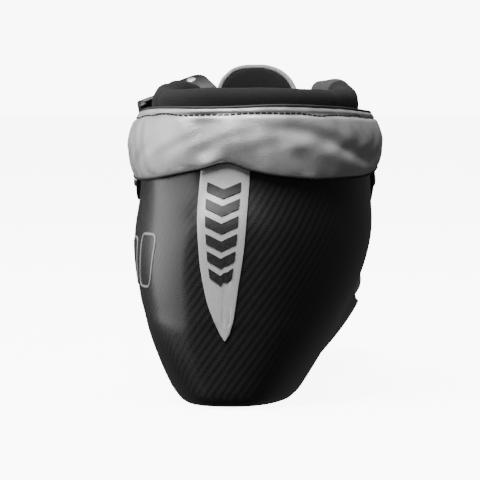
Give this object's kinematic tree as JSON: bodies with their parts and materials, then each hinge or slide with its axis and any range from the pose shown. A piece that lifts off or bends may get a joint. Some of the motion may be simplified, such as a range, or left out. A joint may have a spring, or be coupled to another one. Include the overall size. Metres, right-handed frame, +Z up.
{
  "type": "cross country boot",
  "caption": "Low racing boot for the left foot: a moulded carbon shell under a padded ankle cuff, laced throat, ratchet instep strap and flat sole inserts.",
  "frame": {"origin": "on the ground under the middle of the boot's overall size", "axes": "+Z up, toe towards -Y, outer side of the left foot towards +X"},
  "size_m": [0.1044, 0.284, 0.1293],
  "materials": {
    "carbon_shell": "satin carbon weave",
    "ankle_cuff": "soft sheen",
    "toe_box": "soft sheen",
    "outer_side_panel": "soft sheen",
    "inner_side_panel": "soft sheen",
    "lining": "matt",
    "toe_stiffener": "matt",
    "outer_ankle_pad": "matt",
    "inner_ankle_pad": "matt",
    "heel_pad": "matt",
    "collar_roll": "matt",
    "tongue": "matt",
    "footbed": "matt",
    "heel_stripe": "satin",
    "outer_eyestay": "soft sheen",
    "eyelets": "satin",
    "inner_eyestay": "soft sheen",
    "lace": "matt",
    "ladder_strap": "matt",
    "outer_strap": "matt",
    "outer_strap_rivet": "satin",
    "inner_strap_rivet": "satin",
    "buckle_base": "satin",
    "lever_pin": "satin",
    "buckle_lever": "satin",
    "forefoot_insert": "satin",
    "heel_insert": "satin"
  },
  "bodies": {
    "boot": {"carbon_shell": "carbon_shell", "ankle_cuff": "ankle_cuff", "toe_box": "toe_box", "outer_side_panel": "outer_side_panel", "inner_side_panel": "inner_side_panel", "lining": "lining", "toe_stiffener": "toe_stiffener", "outer_ankle_pad": "outer_ankle_pad", "inner_ankle_pad": "inner_ankle_pad", "heel_pad": "heel_pad", "collar_roll": "collar_roll", "tongue": "tongue", "footbed": "footbed", "heel_stripe": "heel_stripe", "outer_eyestay": "outer_eyestay", "outer_eyelet_1": "eyelets", "outer_eyelet_2": "eyelets", "outer_eyelet_3": "eyelets", "outer_eyelet_4": "eyelets", "outer_eyelet_5": "eyelets", "inner_eyestay": "inner_eyestay", "inner_eyelet_1": "eyelets", "inner_eyelet_2": "eyelets", "inner_eyelet_3": "eyelets", "inner_eyelet_4": "eyelets", "inner_eyelet_5": "eyelets", "lace": "lace", "ladder_strap": "ladder_strap", "outer_strap": "outer_strap", "outer_strap_rivet": "outer_strap_rivet", "inner_strap_rivet": "inner_strap_rivet", "buckle_base": "buckle_base", "lever_pin": "lever_pin", "forefoot_insert": "forefoot_insert", "heel_insert": "heel_insert"},
    "lever": {"buckle_lever": "buckle_lever"}
  },
  "joints": [
    {"name": "lever_hinge", "type": "hinge", "parent": "boot", "child": "lever", "pos_m": [0.02535, 0.01454, 0.1123], "axis": [-0.0921, -0.5166, -0.8513], "range_deg": [0, 75]}
  ]
}
